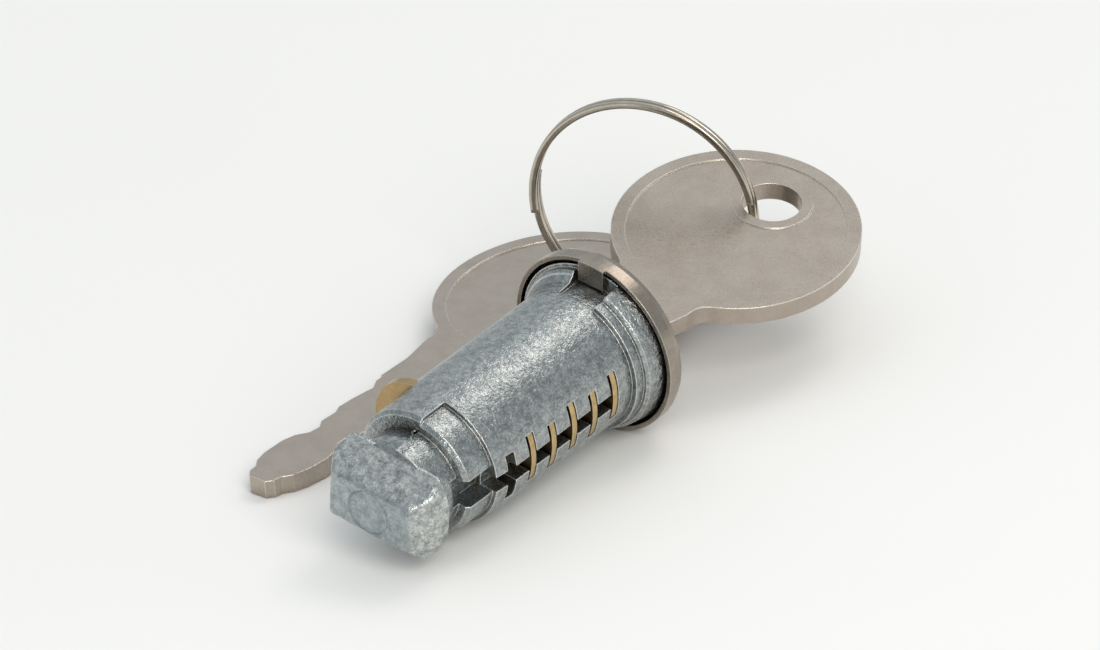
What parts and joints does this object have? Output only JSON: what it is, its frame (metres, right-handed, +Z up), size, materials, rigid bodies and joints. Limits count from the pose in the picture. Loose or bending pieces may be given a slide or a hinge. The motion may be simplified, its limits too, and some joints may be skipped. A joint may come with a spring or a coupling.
{
  "type": "wafer lock cylinder with keys",
  "caption": "Small die-cast wafer lock cylinder with a steel face cap, a flat key in its keyway and a spare key on a split ring.",
  "frame": {"origin": "on the plug's axis, in the plane of the flange's rear face that seats on the housing", "axes": "+Y along the plug's axis toward the key's bow, +X across the key blade, +Z up, square to the key's flat side"},
  "size_m": [0.0389, 0.068, 0.0247],
  "materials": {
    "zinc": "satin die-cast zinc",
    "steel_cap": "satin",
    "wafer_brass": "satin",
    "retainer_brass": "satin",
    "spring_steel": "bright",
    "nickel": "nickel plated, satin",
    "ring_steel": "bright"
  },
  "bodies": {
    "plug": {"plug_body": "zinc", "face_cap": "steel_cap", "wafer_spring_1": "spring_steel", "wafer_spring_2": "spring_steel", "wafer_spring_3": "spring_steel", "wafer_spring_4": "spring_steel", "wafer_spring_5": "spring_steel", "retaining_spring": "spring_steel"},
    "wafer_body_1": {"wafer_1": "wafer_brass"},
    "wafer_body_2": {"wafer_2": "wafer_brass"},
    "wafer_body_3": {"wafer_3": "wafer_brass"},
    "wafer_body_4": {"wafer_4": "wafer_brass"},
    "wafer_body_5": {"wafer_5": "wafer_brass"},
    "retainer": {"retaining_wafer": "retainer_brass"},
    "lock_key": {"key": "nickel"},
    "ring": {"split_ring": "ring_steel"},
    "loose_key": {"spare_key": "nickel"}
  },
  "joints": [
    {"name": "key_slide", "type": "slide", "parent": "plug", "child": "lock_key", "axis": [0, 1, 0], "range_m": [0, 0.024]},
    {"name": "wafer_slide_1", "type": "slide", "parent": "plug", "child": "wafer_body_1", "axis": [-1, 0, 0], "range_m": [0, 0.00075], "deforming": ["wafer_spring_1"]},
    {"name": "wafer_slide_2", "type": "slide", "parent": "plug", "child": "wafer_body_2", "axis": [1, 0, 0], "range_m": [0, 0.00075], "deforming": ["wafer_spring_2"]},
    {"name": "wafer_slide_3", "type": "slide", "parent": "plug", "child": "wafer_body_3", "axis": [-1, 0, 0], "range_m": [0, 0.00075], "deforming": ["wafer_spring_3"]},
    {"name": "wafer_slide_4", "type": "slide", "parent": "plug", "child": "wafer_body_4", "axis": [1, 0, 0], "range_m": [0, 0.00075], "deforming": ["wafer_spring_4"]},
    {"name": "wafer_slide_5", "type": "slide", "parent": "plug", "child": "wafer_body_5", "axis": [-1, 0, 0], "range_m": [0, 0.00075], "deforming": ["wafer_spring_5"]},
    {"name": "retainer_slide", "type": "slide", "parent": "plug", "child": "retainer", "axis": [1, 0, 0], "range_m": [0, 0.0022], "stiffness_N_per_m": 150, "springref_m": -0.002, "deforming": ["retaining_spring"]},
    {"name": "ring_swing", "type": "hinge", "parent": "lock_key", "child": "ring", "pos_m": [-0.00113, 0.02783, 0], "axis": [0.244, -0.0668, -0.9675], "range_deg": [-5, 85]},
    {"name": "loose_key_swing", "type": "hinge", "parent": "ring", "child": "loose_key", "pos_m": [-0.01528, 0.02094, -0.01227], "axis": [-0.875, -0.2402, 0.4204], "range_deg": [-50, 5]}
  ],
  "couplings": [
    {"joint": "wafer_slide_1", "follows": "key_slide", "ratio": 0.03125},
    {"joint": "wafer_slide_2", "follows": "key_slide", "ratio": 0.03125},
    {"joint": "wafer_slide_3", "follows": "key_slide", "ratio": 0.03125},
    {"joint": "wafer_slide_4", "follows": "key_slide", "ratio": 0.03125},
    {"joint": "wafer_slide_5", "follows": "key_slide", "ratio": 0.03125}
  ]
}
